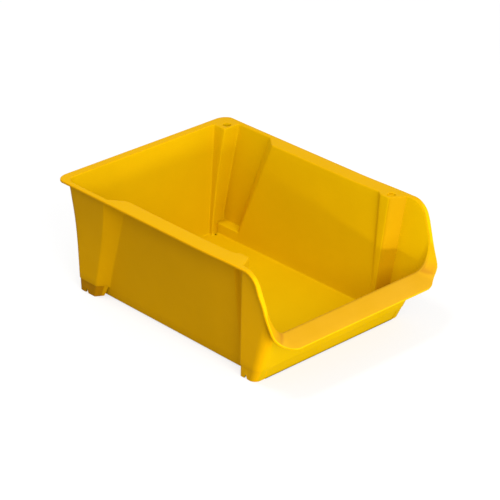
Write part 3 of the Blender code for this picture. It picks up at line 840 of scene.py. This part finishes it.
def toned(tree, colour, place):
    """The plain yellow with painted shade on the lip, outside, rim tops and front step, painted light on the
    outside towards the front, and darker rear foot skirts.
    """
    x, y, z = split(tree, place, 700)
    geometry = node(tree, "ShaderNodeNewGeometry", (-1400, 900))
    sideways, ahead, up = split(tree, geometry.outputs["Normal"], 900)
    outward = calc(tree, "MULTIPLY", x, sideways)
    tints = (
        (LIP_PAINTED_SHADE, ((y, LIP_Y), (up, UPWARD), (z, LIP_MASK_Z))),
        (FOOT_TINT, ((calc(tree, "ABSOLUTE", x), FOOT_X), (y, REARWARD), (z, FOOT_Z))),
        (OUTSIDE_PAINTED_SHADE, ((outward, OUTSIDE),)),
        (FRONT_PAINTED_LIGHT, ((outward, OUTSIDE), (y, FORWARD))),
        (RIM_TOP_PAINTED_SHADE, ((z, EDGE_TOP_Z), (up, UPWARD))),
        (STEP_PAINTED_SHADE, ((outward, INSIDE), (ahead, STEP_FACING), (y, FORWARD))),
    )
    for tint, limits in tints:
        colour = tinted(tree, colour, masked(tree, limits), tint)
    return colour


def plastic():
    """Injection moulded polypropylene: yellow, softly uneven in tone, with a fine moulded grain."""
    material = bpy.data.materials.new("yellow_polypropylene")
    material.use_nodes = True
    tree = material.node_tree
    link_to = tree.links.new
    shader = tree.nodes["Principled BSDF"]
    shader.inputs["IOR"].default_value = PLASTIC_IOR
    shader.inputs["Specular IOR Level"].default_value = PLASTIC_SPECULAR
    place = node(tree, "ShaderNodeTexCoord", (-1400, 0)).outputs["Object"]
    cloud = node(tree, "ShaderNodeTexNoise", (-1100, 300), Scale=14.0, Detail=4.0, Roughness=0.55)
    grain = node(tree, "ShaderNodeTexNoise", (-1100, -200), Scale=1500.0, Detail=3.0, Roughness=0.6)
    waves = node(tree, "ShaderNodeTexNoise", (-1100, -500), Scale=30.0, Detail=2.0, Roughness=0.5)
    for texture in (cloud, grain, waves):
        link_to(place, texture.inputs["Vector"])
    tone = node(tree, "ShaderNodeValToRGB", (-800, 300))
    for stop, (position, colour) in zip(tone.color_ramp.elements, YELLOWS):
        stop.position = position
        stop.color = colour
    link_to(cloud.outputs["Fac"], tone.inputs["Fac"])
    link_to(toned(tree, tone.outputs["Color"], place), shader.inputs["Base Color"])
    rough = node(tree, "ShaderNodeMapRange", (-800, 0), To_Min=ROUGHNESS[0], To_Max=ROUGHNESS[1])
    link_to(grain.outputs["Fac"], rough.inputs["Value"])
    link_to(rough.outputs["Result"], shader.inputs["Roughness"])
    fine = node(tree, "ShaderNodeBump", (-500, -200), Strength=0.25, Distance=0.00012)
    soft = node(tree, "ShaderNodeBump", (-300, -400), Strength=0.35, Distance=0.0006)
    link_to(waves.outputs["Fac"], soft.inputs["Height"])
    link_to(grain.outputs["Fac"], fine.inputs["Height"])
    link_to(soft.outputs["Normal"], fine.inputs["Normal"])
    link_to(fine.outputs["Normal"], shader.inputs["Normal"])
    return material


def floor_paint():
    material = bpy.data.materials.new("pale_floor")
    material.use_nodes = True
    shader = material.node_tree.nodes["Principled BSDF"]
    shader.inputs["Base Color"].default_value = FLOOR_GREY
    shader.inputs["Emission Color"].default_value = WHITE
    shader.inputs["Emission Strength"].default_value = FLOOR_GLOW
    shader.inputs["Roughness"].default_value = 0.9
    shader.inputs["Specular IOR Level"].default_value = 0.1
    return material


def make_floor():
    """A pale floor whose own glow lights only itself, so that it reads white without lighting the bin."""
    mesh = bpy.data.meshes.new("studio_floor")
    h = FLOOR_HALF
    mesh.from_pydata([(-h, -h, 0), (h, -h, 0), (h, h, 0), (-h, h, 0)], [], [(0, 1, 2, 3)])
    item = link(bpy.data.objects.new("studio_floor", mesh))
    mesh.materials.append(floor_paint())
    glow = bpy.data.collections.new("lit_by_floor")
    glow.objects.link(item)
    item.light_linking.receiver_collection = glow


# Light and camera

def softbox(name, aim, azimuth, elevation, distance, wide, high, power):
    """A rectangular area light; azimuth 0 is the open front and 90 the right-hand side of the bin."""
    data = bpy.data.lights.new(name, "AREA")
    data.shape = "RECTANGLE"
    data.size = wide
    data.size_y = high
    data.energy = power
    item = link(bpy.data.objects.new(name, data))
    a, e = radians(azimuth), radians(elevation)
    away = Vector((sin(a) * cos(e), -cos(a) * cos(e), sin(e)))
    item.location = aim + away * distance
    item.rotation_euler = away.to_track_quat("Z", "Y").to_euler()


def make_light():
    scene = bpy.context.scene
    world = bpy.data.worlds.new("studio")
    world.use_nodes = True
    background = world.node_tree.nodes["Background"]
    background.inputs["Color"].default_value = WHITE
    background.inputs["Strength"].default_value = WORLD_STRENGTH
    scene.world = world
    for name, settings in LIGHTS.items():
        softbox(name, *settings)
    scene.view_settings.view_transform = "Standard"


def make_camera():
    data = bpy.data.cameras.new("camera")
    data.lens = CAMERA_LENS
    data.sensor_width = SENSOR_WIDTH
    item = link(bpy.data.objects.new("camera", data))
    item.location = CAMERA_PLACE
    item.rotation_euler = (radians(CAMERA_TILT), 0.0, radians(CAMERA_TURN))
    bpy.context.scene.camera = item


shell = make_shell()
carve(shell, cutters())
shell.data.materials.append(plastic())
shell.data.shade_smooth()
shell.data.set_sharp_from_angle(angle=radians(SMOOTH_ANGLE))
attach(shell, "root")
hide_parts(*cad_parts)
make_floor()
make_light()
make_camera()
